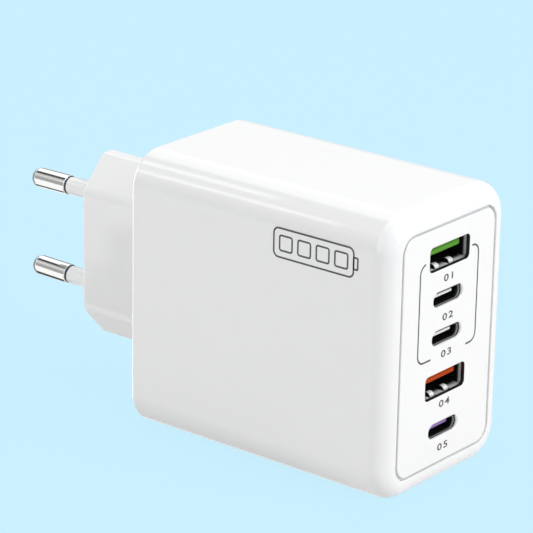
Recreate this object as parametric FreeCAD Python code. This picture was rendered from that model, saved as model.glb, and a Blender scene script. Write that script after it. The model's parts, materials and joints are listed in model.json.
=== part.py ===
"""Five-port USB wall charger with a two-pin Europlug, modelled piece by piece in millimetres.

The charger stands on its bottom face. +Z is up, the ports face -Y and the plug pins point to +Y.
The origin is on the bottom plane, half way between the port face and the tips of the pins.
"""
import math
import os

import FreeCAD
import Part

V = FreeCAD.Vector

# Body: a round-cornered sleeve with a soft front edge
body_width = 37.4
body_depth = 61.5
body_height = 56.0
section_corner = 7.1
wall = 2.0
rear_edge_round = 0.9

# Port panel, flush in the front of the body behind a shallow groove
panel_margin = 4.5
panel_corner = 3.0
panel_thickness = 2.0
panel_edge_round = 0.2
panel_fit = 0.05
groove_width = 0.5
groove_depth = 0.6
front_flat = 0.3
ledge_width = 1.5
ledge_thickness = 1.2

# Ports from the top down, and the clear heights above, between and below them
port_kinds = ["usb_a", "usb_c", "usb_c", "usb_a", "usb_c"]
port_gaps = [3.5, 4.6, 4.85, 5.65, 5.5, 5.15]

# USB-A receptacles
usb_a_hole_width = 12.4
usb_a_hole_height = 4.75
usb_a_hole_corner = 0.9
usb_a_inner_width = 12.5
usb_a_inner_height = 5.12
usb_a_inner_corner = 0.5
usb_a_skin = 0.8
usb_a_tongue_width = 10.5
usb_a_tongue_thickness = 1.2
usb_a_tongue_drop = 1.3
usb_a_tongue_setback = 0.75
usb_a_tongue_edge = 0.3
usb_a_block_depth = 3.5
usb_a_contact_width = 1.0
usb_a_contact_thickness = 0.3
usb_a_contact_bow = 0.4
usb_a_contact_outer = 3.5
usb_a_contact_inner = 1.0
spring_spacing = 4.4
spring_width = 1.3
spring_slot = 0.3
spring_length = 1.5
spring_start = 0.4
spring_bow = 0.75

# USB-C receptacles
usb_c_hole_width = 8.9
usb_c_hole_height = 2.75
usb_c_mouth_round = 0.5
usb_c_skin = 0.7
usb_c_inner_width = 8.34
usb_c_inner_height = 2.66
usb_c_tongue_width = 6.69
usb_c_tongue_thickness = 0.5
usb_c_tongue_setback = 1.0
usb_c_block_depth = 4.0
usb_c_pad_count = 8
usb_c_pad_pitch = 0.75
usb_c_pad_width = 0.4
usb_c_pad_thickness = 0.1
usb_c_pad_length = 3.2
usb_c_pad_inset = 0.5

# Both kinds of receptacle
shell_thickness = 0.3
shell_fit = 0.1
mouth_fit = 0.05
receptacle_height = 10.5

# Rear cover with the hexagonal plug block
cover_thickness = 2.0
cover_rim = 1.1
cover_fit = 0.05
plug_length = 22.9
plug_width = 14.6
plug_height = 38.2
plug_side_height = 25.4
plug_end_flat = 2.8
plug_rise = 0.4
plug_side_round = 5.0
plug_end_round = 1.2
plug_inner_round = 0.3
plug_face_round = 0.6
plug_wall = 1.8
plug_end_wall = 4.0

# Plug pins, leaning towards each other at their tips
pin_diameter = 4.0
pin_length = 19.5
pin_spacing_at_face = 19.5
pin_spacing_at_tip = 18.9
pin_tip_round = 1.6
pin_shoulder = 0.25
pin_neck_diameter = 2.8
pin_collar_diameter = 5.6
pin_collar_thickness = 1.2
pin_collar_gap = 0.1
pin_tail_diameter = 2.4
pin_tail_length = 3.0
sleeve_diameter = 3.6
sleeve_length = 10.0
sleeve_seat = 1.5
sleeve_end_gap = 0.4
sleeve_fit = 0.05

# Circuit boards and the rails that hold the main one
board_thickness = 1.6
board_fit = 0.25
solder_side_space = 2.0
rail_floor = 1.0
rail_slot_depth = 1.2
rail_rib = 1.0
rail_fit = 0.1
board_end_gap = 0.5
link_pin_count = 6
link_pin_pitch = 5.0
link_pin_leg = 3.0
link_pin_size = 0.8
link_pin_clear = 0.5
sheet_thickness = 0.3
sheet_margin = 2.0

# Strips from the plug pins to the main board
strip_thickness = 0.5
strip_width = 3.5
strip_foot = 3.0
strip_tab = 3.0
strip_clear = 1.0
strip_gap = 0.1

# Parts on the main board, which stand on it towards -X
bulk_capacitor_diameter = 10.0
bulk_capacitor_height = 20.0
bulk_capacitor_stagger = 2.0
output_capacitor_diameter = 6.3
output_capacitor_height = 10.0
output_capacitor_pitch = 7.0
capacitor_rim = 0.8
capacitor_neck = 0.4
core_height = 13.2
core_width = 11.6
core_depth = 5.0
core_leg = 3.6
core_yoke = 2.2
core_side_leg = 1.8
core_lift = 0.4
bobbin_wall = 0.5
bobbin_flange = 0.8
bobbin_fit = 0.1
winding_build = 1.3
choke_outer_diameter = 10.0
choke_inner_diameter = 5.5
choke_thickness = 5.0
choke_winding_build = 0.7
choke_winding_angle = 120.0
x_capacitor_length = 11.0
x_capacitor_width = 5.5
x_capacitor_height = 10.5
x_capacitor_round = 0.6
fuse_length = 8.5
fuse_width = 4.0
fuse_height = 7.5
bridge_length = 9.0
bridge_depth = 3.4
bridge_height = 9.5
pair_gap = 0.8
inductor_size = 7.3
inductor_height = 4.2
inductor_round = 1.0
heat_sink_length = 11.0
heat_sink_thickness = 1.5
heat_sink_height = 15.0
transistor_width = 10.0
transistor_depth = 4.5
transistor_height = 9.0
transistor_lift = 3.5
transistor_leg = 0.8
transistor_leg_pitch = 2.54
disc_capacitor_diameter = 7.5
disc_capacitor_thickness = 3.5
disc_capacitor_bevel = 1.2
chip_length = 5.0
chip_width = 4.0
chip_height = 1.2
chip_pitch = 12.0
chip_count = 3

# Planes that the sizes above fix
overall_length = body_depth + plug_length + pin_length
y_front = -overall_length / 2
y_rear = y_front + body_depth
y_plug_face = y_rear + plug_length
y_ledge = y_front + panel_thickness
y_cavity = y_ledge + ledge_thickness
y_cover = y_rear - cover_thickness
z_middle = body_height / 2
z_plug = z_middle + plug_rise
cavity_width = body_width - 2 * wall
cavity_height = body_height - 2 * wall
cavity_corner = section_corner - wall
panel_width = body_width - 2 * panel_margin
panel_height = body_height - 2 * panel_margin
opening_width = panel_width + 2 * groove_width
opening_height = panel_height + 2 * groove_width
opening_corner = panel_corner + groove_width
front_round = panel_margin - groove_width - front_flat
usb_a_recess = usb_a_skin + mouth_fit
usb_c_recess = usb_c_skin + mouth_fit
usb_a_outer_width = usb_a_inner_width + 2 * shell_thickness
usb_a_outer_height = usb_a_inner_height + 2 * shell_thickness
usb_c_outer_width = usb_c_inner_width + 2 * shell_thickness
usb_c_outer_height = usb_c_inner_height + 2 * shell_thickness
y_port_board = y_front + usb_a_recess + receptacle_height
y_main_board = y_port_board + board_thickness
y_main_board_end = y_cover - board_end_gap
x_main_board = body_width / 2 - wall - solder_side_space - board_thickness
corner_reach = x_main_board + board_thickness + rail_fit - (body_width / 2 - wall - cavity_corner)
corner_rise = cavity_corner - math.sqrt(cavity_corner ** 2 - max(corner_reach, 0) ** 2)
z_rail_slot = wall + max(rail_floor, corner_rise)
z_main_board = z_rail_slot + rail_fit
main_board_length = y_main_board_end - y_main_board
main_board_height = body_height - 2 * z_main_board


def rounded_outline(width, height, radius, x, y, z):
    """Closed wire of a round-cornered rectangle centred on (x, z), in the plane at y."""
    radius = min(radius, width / 2, height / 2)
    across, up = width / 2 - radius, height / 2 - radius
    arcs = []
    corners = ((across, up), (-across, up), (-across, -up), (across, -up))
    for start, (cx, cz) in zip((0, 90, 180, 270), corners):
        points = []
        for angle in (start, start + 45, start + 90):
            turn = math.radians(angle)
            points.append(V(x + cx + radius * math.cos(turn), y, z + cz + radius * math.sin(turn)))
        arcs.append(points)
    edges = []
    for here, after in zip(arcs, arcs[1:] + arcs[:1]):
        edges.append(Part.Arc(*here).toShape())
        if here[2].distanceToPoint(after[0]) > 1e-6:
            edges.append(Part.LineSegment(here[2], after[0]).toShape())
    return Part.Wire(edges)


def rounded_bar(width, height, radius, y_start, y_end, x=0.0, z=None):
    """Solid of a round-cornered rectangle between two planes across Y."""
    outline = rounded_outline(width, height, radius, x, y_start, z_middle if z is None else z)
    return Part.Face(outline).extrude(V(0, y_end - y_start, 0))


def box(x_range, y_range, z_range):
    """Solid box between pairs of X, Y and Z values."""
    low = V(x_range[0], y_range[0], z_range[0])
    return Part.makeBox(x_range[1] - x_range[0], y_range[1] - y_range[0], z_range[1] - z_range[0], low)


def polygon_solid(points, sweep):
    """Solid swept straight from a closed polygon of points."""
    return Part.Face(Part.makePolygon(points + points[:1])).extrude(sweep)


def edges_at_y(shape, y):
    """Edges of a shape that lie whole in the plane at y."""
    return [e for e in shape.Edges if abs(e.BoundBox.YMin - y) < 1e-6 and abs(e.BoundBox.YMax - y) < 1e-6]


def edges_within(edges, width, height, z):
    """Those edges whose ends lie within a rectangle of this size about the height z on the body's axis."""
    half_w, half_h = width / 2 + 1e-6, height / 2 + 1e-6
    return [e for e in edges
            if all(abs(v.X) <= half_w and abs(v.Z - z) <= half_h for v in e.Vertexes)]


def single(shape):
    """The one solid that a boolean result holds, with its split faces joined."""
    solid = shape.removeSplitter()
    return solid.Solids[0] if len(solid.Solids) == 1 else solid


def port_places():
    """(kind, number within its kind, height of its middle) for each port, from the top down."""
    hole_heights = {"usb_a": usb_a_hole_height, "usb_c": usb_c_hole_height}
    free = panel_height - sum(hole_heights[kind] for kind in port_kinds)
    share = free / sum(port_gaps)
    places = []
    numbers = {"usb_a": 0, "usb_c": 0}
    edge = z_middle + panel_height / 2
    for kind, gap in zip(port_kinds, port_gaps):
        edge -= gap * share
        numbers[kind] += 1
        places.append((kind, numbers[kind], edge - hole_heights[kind] / 2))
        edge -= hole_heights[kind]
    return places


def board_rail(side):
    """Slotted rail along the inside of the bottom (-1) or top (1) wall, for an edge of the main board."""
    x_middle = x_main_board + board_thickness / 2
    half_slot = board_thickness / 2 + rail_fit
    half_rail = half_slot + rail_rib
    y_range = (y_main_board + rail_fit, y_cover)
    root, slot = z_middle + side * (z_middle - wall / 2), z_middle + side * (z_middle - z_rail_slot)
    top = slot - side * rail_slot_depth
    rail = box((x_middle - half_rail, x_middle + half_rail), y_range, sorted((root, top)))
    return rail.cut(box((x_middle - half_slot, x_middle + half_slot), y_range, sorted((slot, top))))


def make_main_housing():
    """Sleeve with a rounded front lip, a ledge for the panel, a rear seat for the cover, and board rails."""
    shell = rounded_bar(body_width, body_height, section_corner, y_front, y_rear)
    shell = shell.makeFillet(front_round, edges_at_y(shell, y_front))
    shell = shell.makeFillet(rear_edge_round, edges_at_y(shell, y_rear))
    shell = shell.cut(rounded_bar(opening_width, opening_height, opening_corner, y_front, y_ledge))
    mouth = edges_within(edges_at_y(shell, y_front), opening_width, opening_height, z_middle)
    shell = shell.makeFillet(panel_edge_round, mouth)
    window_corner = max(opening_corner - ledge_width, panel_edge_round)
    window = rounded_bar(opening_width - 2 * ledge_width, opening_height - 2 * ledge_width,
                         window_corner, y_ledge, y_cavity)
    cavity = rounded_bar(cavity_width, cavity_height, cavity_corner, y_cavity, y_rear)
    seat = rounded_bar(body_width - 2 * cover_rim, body_height - 2 * cover_rim,
                       section_corner - cover_rim, y_cover, y_rear)
    shell = shell.cut(window.fuse([cavity, seat]))
    return single(shell.fuse([board_rail(-1), board_rail(1)]))


def make_front_panel():
    """Port panel: a face inside the groove and a wider flange on the ledge, with the port openings."""
    y_flange = y_front + groove_depth
    face = rounded_bar(panel_width, panel_height, panel_corner, y_front, y_flange)
    face = face.makeFillet(panel_edge_round, edges_at_y(face, y_front))
    flange = rounded_bar(opening_width - 2 * panel_fit, opening_height - 2 * panel_fit,
                         opening_corner - panel_fit, y_flange, y_ledge)
    panel = face.fuse(flange)
    holes = {"usb_a": (usb_a_hole_width, usb_a_hole_height, usb_a_hole_corner, panel_edge_round),
             "usb_c": (usb_c_hole_width, usb_c_hole_height, usb_c_hole_height / 2, usb_c_mouth_round)}
    usb_a_corner = usb_a_inner_corner + shell_thickness
    pockets = {"usb_a": (usb_a_outer_width, usb_a_outer_height, usb_a_corner, usb_a_skin),
               "usb_c": (usb_c_outer_width, usb_c_outer_height, usb_c_outer_height / 2, usb_c_skin)}
    for kind, _, z in port_places():
        width, height, corner, mouth_round = holes[kind]
        hole = rounded_bar(width, height, corner, y_front, y_ledge, z=z)
        shell_width, shell_height, shell_corner, skin = pockets[kind]
        pocket = rounded_bar(shell_width + 2 * shell_fit, shell_height + 2 * shell_fit,
                             shell_corner + shell_fit, y_front + skin, y_ledge, z=z)
        panel = panel.cut(hole.fuse(pocket))
        panel = panel.makeFillet(mouth_round, edges_within(edges_at_y(panel, y_front), width, height, z))
    return single(panel)


def bowed_strip(x, width, wall_z, thickness, bow, y_start, y_end):
    """Sheet strip along Y whose ends lie on the plane at wall_z and whose middle bows away from it."""
    y_middle = (y_start + y_end) / 2
    near = [V(x - width / 2, y, wall_z + dz) for y, dz in ((y_start, 0), (y_middle, bow), (y_end, 0))]
    far = [p + V(0, 0, math.copysign(thickness, bow)) for p in near]
    edges = [Part.Arc(*near).toShape(), Part.LineSegment(near[2], far[2]).toShape(),
             Part.Arc(*reversed(far)).toShape(), Part.LineSegment(far[0], near[0]).toShape()]
    return Part.Face(Part.Wire(edges)).extrude(V(width, 0, 0))


def make_usb_a_shell(z):
    """Folded steel shell with two retention springs cut from its floor and two from its roof."""
    y_mouth = y_front + usb_a_recess
    outer = rounded_bar(usb_a_outer_width, usb_a_outer_height, usb_a_inner_corner + shell_thickness,
                        y_mouth, y_port_board, z=z)
    shell = outer.cut(rounded_bar(usb_a_inner_width, usb_a_inner_height, usb_a_inner_corner,
                                  y_mouth, y_port_board, z=z))
    y_tip = y_mouth + spring_start
    y_root = y_tip + spring_length
    half_slot = spring_width / 2 + spring_slot
    springs = []
    for x in (-spring_spacing / 2, spring_spacing / 2):
        for side in (-1, 1):
            z_in = z + side * usb_a_inner_height / 2
            z_out = z + side * usb_a_outer_height / 2
            shell = shell.cut(box((x - half_slot, x + half_slot), (y_tip - spring_slot, y_root),
                                  sorted((z_in - side * usb_a_inner_corner, z_out))))
            springs.append(bowed_strip(x, spring_width, z_out, shell_thickness, -side * spring_bow,
                                       y_tip, y_root + shell_thickness))
    return single(shell.fuse(springs))


def usb_a_tongue_range(z):
    """Heights of the underside and top of the tongue, which hangs in the upper half of the shell."""
    top = z + usb_a_inner_height / 2 - usb_a_tongue_drop
    return top - usb_a_tongue_thickness, top


def make_usb_a_tongue(z):
    """Coloured insulator: a block that fills the back of the shell, with the tongue in front of it."""
    y_block = y_port_board - usb_a_block_depth
    y_tip = y_front + usb_a_recess + usb_a_tongue_setback
    filler = rounded_bar(usb_a_inner_width, usb_a_inner_height, usb_a_inner_corner,
                         y_block, y_port_board, z=z)
    half = usb_a_tongue_width / 2
    tongue = box((-half, half), (y_tip, y_block), usb_a_tongue_range(z))
    tongue = tongue.makeChamfer(usb_a_tongue_edge, edges_at_y(tongue, y_tip))
    return single(filler.fuse(tongue))


def make_usb_a_contacts(z):
    """Four bowed contact strips under the tongue."""
    under = usb_a_tongue_range(z)[0]
    y_start = y_front + usb_a_recess + usb_a_tongue_setback + 2 * usb_a_tongue_edge
    y_end = y_port_board - usb_a_block_depth
    places = (-usb_a_contact_outer, -usb_a_contact_inner, usb_a_contact_inner, usb_a_contact_outer)
    strips = []
    for x in places:
        strip = bowed_strip(x, usb_a_contact_width, under, usb_a_contact_thickness, -usb_a_contact_bow,
                            y_start, y_end)
        strips.append(strip)
    return Part.makeCompound(strips)


def make_usb_c_shell(z):
    """Drawn steel shell with round ends."""
    y_mouth = y_front + usb_c_recess
    outer = rounded_bar(usb_c_outer_width, usb_c_outer_height, usb_c_outer_height / 2,
                        y_mouth, y_port_board, z=z)
    return outer.cut(rounded_bar(usb_c_inner_width, usb_c_inner_height, usb_c_inner_height / 2,
                                 y_mouth, y_port_board, z=z))


def make_usb_c_tongue(z):
    """Insulator: a block that fills the back of the shell, with the thin middle tongue in front of it."""
    y_block = y_port_board - usb_c_block_depth
    y_tip = y_front + usb_c_recess + usb_c_tongue_setback
    filler = rounded_bar(usb_c_inner_width, usb_c_inner_height, usb_c_inner_height / 2,
                         y_block, y_port_board, z=z)
    half, thick = usb_c_tongue_width / 2, usb_c_tongue_thickness / 2
    tongue = box((-half, half), (y_tip, y_block), (z - thick, z + thick))
    return single(filler.fuse(tongue))


def make_usb_c_contacts(z):
    """Rows of flat contact pads on both faces of the tongue."""
    y_start = y_front + usb_c_recess + usb_c_tongue_setback + usb_c_pad_inset
    first = -usb_c_pad_pitch * (usb_c_pad_count - 1) / 2
    pads = []
    for index in range(usb_c_pad_count):
        x = first + index * usb_c_pad_pitch
        x_range = (x - usb_c_pad_width / 2, x + usb_c_pad_width / 2)
        for side in (-1, 1):
            face = z + side * usb_c_tongue_thickness / 2
            z_range = sorted((face, face + side * usb_c_pad_thickness))
            pads.append(box(x_range, (y_start, y_start + usb_c_pad_length), z_range))
    return Part.makeCompound(pads)


def plug_points(inset, y):
    """Corners of the plug block's long hexagon with its cut-off ends, drawn in by an inset."""
    half_w, half_h = plug_width / 2, plug_height / 2
    side, flat = plug_side_height / 2, plug_end_flat / 2
    slope = math.hypot(half_h - side, half_w - flat)
    across, up = (half_h - side) / slope, (half_w - flat) / slope
    reach = across * half_w + up * side - inset
    half_w, half_h = half_w - inset, half_h - inset
    side, flat = (reach - across * half_w) / up, (reach - up * half_h) / across
    quarter = [(half_w, side), (flat, half_h)]
    ring = quarter + [(-x, z) for x, z in reversed(quarter)]
    ring += [(-x, -z) for x, z in ring]
    return [V(x, y, z_plug + z) for x, z in ring]


def plug_prism(inset, y_start, y_end):
    """Straight prism of the plug block's outline, with its long edges rounded."""
    prism = polygon_solid(plug_points(inset, y_start), V(0, y_end - y_start, 0))
    half_w, half_h = plug_width / 2 - inset, plug_height / 2 - inset
    long_edges = [e for e in prism.Edges if len(edges_at_y(e, e.Vertexes[0].Y)) == 0]
    side_edges = [e for e in long_edges if abs(e.Vertexes[0].X) > half_w - 1e-6]
    prism = prism.makeFillet(max(plug_side_round - inset, plug_inner_round), side_edges)
    long_edges = [e for e in prism.Edges if len(edges_at_y(e, e.Vertexes[0].Y)) == 0]
    end_edges = [e for e in long_edges if abs(e.Vertexes[0].Z - z_plug) > half_h - 1e-6]
    return prism.makeFillet(max(plug_end_round - inset, plug_inner_round), end_edges)


def pin_placement(side):
    """Placement that takes a pin drawn along +Y from the origin to its place in the plug's face."""
    lean = math.degrees(math.atan2((pin_spacing_at_face - pin_spacing_at_tip) / 2, pin_length))
    base = V(0, y_plug_face, z_plug + side * pin_spacing_at_face / 2)
    return FreeCAD.Placement(base, FreeCAD.Rotation(V(1, 0, 0), -side * lean))


def turned(profile):
    """Solid turned about the Y axis from a closed profile of (radius, y) points."""
    points = [V(radius, y, 0) for radius, y in profile]
    return Part.Face(Part.makePolygon(points + points[:1])).revolve(V(0, 0, 0), V(0, 1, 0), 360)


def make_pin(side):
    """Turned pin: tail and collar inside, root in the end wall, thin neck under the sleeve, bare tip."""
    tail, collar, root = pin_tail_diameter / 2, pin_collar_diameter / 2, sleeve_diameter / 2
    neck, tip = pin_neck_diameter / 2, pin_diameter / 2
    y_collar = -plug_end_wall - pin_collar_gap
    y_tail = y_collar - pin_collar_thickness
    pin = turned([(0, y_tail - pin_tail_length), (tail, y_tail - pin_tail_length), (tail, y_tail),
                  (collar, y_tail), (collar, y_collar), (root, y_collar), (root, -sleeve_seat),
                  (neck, -sleeve_seat), (neck, sleeve_length), (tip, sleeve_length), (tip, pin_length),
                  (0, pin_length)])
    pin = pin.makeFillet(pin_tip_round, edges_at_y(pin, pin_length))
    shoulder = [e for e in edges_at_y(pin, sleeve_length) if e.BoundBox.XMax > neck + 1e-6]
    pin = pin.makeFillet(pin_shoulder, shoulder)
    pin.Placement = pin_placement(side)
    return pin


def make_pin_sleeve(side):
    """Insulating sleeve on the neck of a pin, from its seat to just short of the bare metal."""
    neck, outside = pin_neck_diameter / 2, sleeve_diameter / 2
    y_end = sleeve_length - sleeve_end_gap
    sleeve = turned([(neck, -sleeve_seat), (outside, -sleeve_seat), (outside, y_end), (neck, y_end)])
    sleeve.Placement = pin_placement(side)
    return sleeve


def make_plug_cover():
    """Rear cover with the hollow plug block moulded on it, and a bore for each pin in its end wall."""
    inset = cover_rim + cover_fit
    plate = rounded_bar(body_width - 2 * inset, body_height - 2 * inset, section_corner - inset,
                        y_cover, y_rear)
    block = plug_prism(0, y_rear, y_plug_face)
    block = block.makeFillet(plug_face_round, edges_at_y(block, y_plug_face))
    hollow = plug_prism(plug_wall, y_cover, y_plug_face - plug_end_wall)
    cover = plate.fuse(block).cut(hollow)
    for side in (1, -1):
        start = V(0, -2 * plug_end_wall, 0)
        bore = Part.makeCylinder(sleeve_diameter / 2 + sleeve_fit, 4 * plug_end_wall, start, V(0, 1, 0))
        bore.Placement = pin_placement(side)
        cover = cover.cut(bore)
    return single(cover)


def make_pin_strip(side):
    """Bent brass strip from the main board, through the cover, to the tail of a pin."""
    depth = plug_end_wall + pin_collar_gap + pin_collar_thickness + pin_tail_length
    tail = pin_placement(side).multVec(V(0, -depth, 0))
    t = strip_thickness
    y_end = tail.y - strip_gap
    y_arm = y_main_board_end - t
    half_tab = strip_tab / 2
    outline = [(x_main_board, y_arm - strip_foot), (x_main_board, y_arm + t), (t / 2, y_arm + t),
               (t / 2, y_end - t), (half_tab, y_end - t), (half_tab, y_end), (-half_tab, y_end),
               (-half_tab, y_end - t), (-t / 2, y_end - t), (-t / 2, y_arm), (x_main_board - t, y_arm),
               (x_main_board - t, y_arm - strip_foot)]
    z = tail.z - strip_width / 2
    return polygon_solid([V(x, y, z) for x, y in outline], V(0, 0, strip_width))


def make_port_board():
    """Upright board that carries the five receptacles, guided by the walls of the body."""
    return rounded_bar(cavity_width - 2 * board_fit, cavity_height - 2 * board_fit,
                       cavity_corner - board_fit, y_port_board, y_main_board)


def make_main_board():
    """Power board along the right-hand wall, with its edges in the rails."""
    return box((x_main_board, x_main_board + board_thickness), (y_main_board, y_main_board_end),
               (z_main_board, z_main_board + main_board_height))


def make_link_pins():
    """Angled pins soldered between the port board and the main board."""
    first = z_middle - link_pin_pitch * (link_pin_count - 1) / 2
    size, leg = link_pin_size, link_pin_leg
    outline = [(0, 0), (-leg, 0), (-leg, size), (-size, size), (-size, leg), (0, leg)]
    pins = []
    for index in range(link_pin_count):
        z = first + index * link_pin_pitch - size / 2
        points = [V(x_main_board + x, y_main_board + y, z) for x, y in outline]
        pins.append(polygon_solid(points, V(0, 0, size)))
    return Part.makeCompound(pins)


def make_insulation_sheet():
    """Film on the flat of the right-hand wall, behind the solder side of the main board."""
    x_wall = body_width / 2 - wall
    z_low = wall + cavity_corner + sheet_margin
    return box((x_wall - sheet_thickness, x_wall), (y_main_board + sheet_margin, y_cover - sheet_margin),
               (z_low, body_height - z_low))


def cell(column, row):
    """Middle of a cell of the board's three by three layout: columns from the plug, rows from the bottom."""
    strip_zone = strip_foot + strip_thickness + strip_clear
    link_zone = link_pin_leg + link_pin_clear
    column_width = (main_board_length - strip_zone - link_zone) / 3
    row_height = main_board_height / 3
    y = y_main_board_end - strip_zone - (column + 0.5) * column_width
    return y, z_main_board + (row + 0.5) * row_height


def on_board(shape, y, z):
    """Stands a shape drawn on the XY plane, with its height along +Z, on the main board at (y, z)."""
    stood = shape.copy()
    turn = FreeCAD.Rotation(V(0, 0, 1), V(-1, 0, 0))
    stood.Placement = FreeCAD.Placement(V(x_main_board, y, z), turn).multiply(shape.Placement)
    return stood


def block(width, length, height, lift=0.0):
    """Plain block centred on the Z axis at a lift. On the board, width lies along Z and length along Y."""
    return Part.makeBox(width, length, height, V(-width / 2, -length / 2, lift))


def upright_rounds(solid, radius, height):
    """A standing block with its upright edges rounded."""
    return solid.makeFillet(radius, [e for e in solid.Edges if e.BoundBox.ZLength > height / 2])


def can_capacitor(diameter, height):
    """Can with a bevelled rim and a pinched groove above its seal, turned about the Z axis."""
    radius, rim, neck = diameter / 2, capacitor_rim, capacitor_neck
    profile = [(0, 0), (radius, 0), (radius, 2 * rim), (radius - neck, 2 * rim + neck),
               (radius, 2 * rim + 2 * neck), (radius, height - rim), (radius - rim, height), (0, height)]
    points = [V(r, 0, z) for r, z in profile]
    return Part.Face(Part.makePolygon(points + points[:1])).revolve(V(0, 0, 0), V(0, 0, 1), 360)


def make_transformer_core():
    """Pair of E-shaped ferrite halves: yokes above and below a middle leg and two side legs."""
    window_width = (core_width - core_leg - 2 * core_side_leg) / 2
    window_height = core_height - 2 * core_yoke
    core = block(core_width, core_depth, core_height, core_lift)
    for side in (-1, 1):
        window = block(window_width, core_depth, window_height, core_lift + core_yoke)
        window.translate(V(side * (core_leg + window_width) / 2, 0, 0))
        core = core.cut(window)
    return core


def bobbin_size(extra):
    """Width and length of a ring around the core's middle leg, out to an extra thickness."""
    return core_leg + 2 * (bobbin_fit + extra), core_depth + 2 * (bobbin_fit + extra)


def make_transformer_bobbin():
    """Former around the middle leg, with two flanges and two feet on the board."""
    low = core_lift + core_yoke + bobbin_fit
    high = core_lift + core_height - core_yoke - bobbin_fit
    tube = block(*bobbin_size(bobbin_wall), high - low, low)
    width, length = bobbin_size(bobbin_wall + winding_build)
    bobbin = tube.fuse([block(width, length, bobbin_flange, low),
                        block(width, length, bobbin_flange, high - bobbin_flange)])
    foot = (length - core_depth) / 2 - bobbin_fit
    for side in (-1, 1):
        leg = block(width, foot, low)
        leg.translate(V(0, side * (length - foot) / 2, 0))
        bobbin = bobbin.fuse(leg)
    return single(bobbin.cut(block(*bobbin_size(0), 2 * core_height, -core_height)))


def make_transformer_winding():
    """Taped winding between the flanges of the bobbin."""
    low = core_lift + core_yoke + bobbin_fit + bobbin_flange
    high = core_lift + core_height - core_yoke - bobbin_fit - bobbin_flange
    winding = block(*bobbin_size(bobbin_wall + winding_build), high - low, low)
    winding = upright_rounds(winding, winding_build / 2, high - low)
    return winding.cut(block(*bobbin_size(bobbin_wall), 2 * core_height, -core_height))


def ring(outer, inner, low, high):
    """Flat ring about the Z axis."""
    body = Part.makeCylinder(outer, high - low, V(0, 0, low))
    return body.cut(Part.makeCylinder(inner, high - low, V(0, 0, low)))


def make_choke_core():
    """Ferrite ring of the mains choke, lying on its windings."""
    low = choke_winding_build
    return ring(choke_outer_diameter / 2, choke_inner_diameter / 2, low, low + choke_thickness)


def make_choke_winding():
    """Two windings that wrap opposite sides of the ring, each a sector of a hollow ring."""
    build = choke_winding_build
    profile = [V(choke_inner_diameter / 2 - build, 0, 0), V(choke_outer_diameter / 2 + build, 0, 0),
               V(choke_outer_diameter / 2 + build, 0, choke_thickness + 2 * build),
               V(choke_inner_diameter / 2 - build, 0, choke_thickness + 2 * build)]
    face = Part.Face(Part.makePolygon(profile + profile[:1]))
    sectors = []
    for start in (0, 180):
        sector = face.revolve(V(0, 0, 0), V(0, 0, 1), choke_winding_angle)
        sector.rotate(V(0, 0, 0), V(0, 0, 1), start - choke_winding_angle / 2)
        sectors.append(sector.cut(make_choke_core()))
    return Part.makeCompound(sectors)


def make_x_capacitor():
    """Boxed film capacitor across the mains."""
    body = block(x_capacitor_length, x_capacitor_width, x_capacitor_height)
    return upright_rounds(body, x_capacitor_round, x_capacitor_height)


def make_inductor():
    """Square moulded power inductor."""
    body = block(inductor_size, inductor_size, inductor_height)
    return upright_rounds(body, inductor_round, inductor_height)


def make_transistor():
    """Flat power transistor that stands on three legs."""
    legs = []
    for index in (-1, 0, 1):
        leg = block(transistor_leg, transistor_leg, transistor_lift)
        leg.translate(V(index * transistor_leg_pitch, 0, 0))
        legs.append(leg)
    return single(block(transistor_width, transistor_depth, transistor_height, transistor_lift).fuse(legs))


def make_disc_capacitor():
    """Dipped disc capacitor that stands on its edge."""
    radius, thick = disc_capacitor_diameter / 2, disc_capacitor_thickness
    disc = Part.makeCylinder(radius, thick, V(-thick / 2, 0, radius), V(1, 0, 0))
    rims = [e for e in disc.Edges if e.Closed]
    return disc.makeChamfer(disc_capacitor_bevel, rims)


def make_chips():
    """Controller chips on the solder side of the main board."""
    x_face = x_main_board + board_thickness
    y_middle = y_main_board + main_board_length / 2
    chips = []
    for index in range(chip_count):
        z = z_middle + (index - (chip_count - 1) / 2) * chip_pitch
        y_range = (y_middle - chip_length / 2, y_middle + chip_length / 2)
        chips.append(box((x_face, x_face + chip_height), y_range, (z - chip_width / 2, z + chip_width / 2)))
    return Part.makeCompound(chips)


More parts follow.
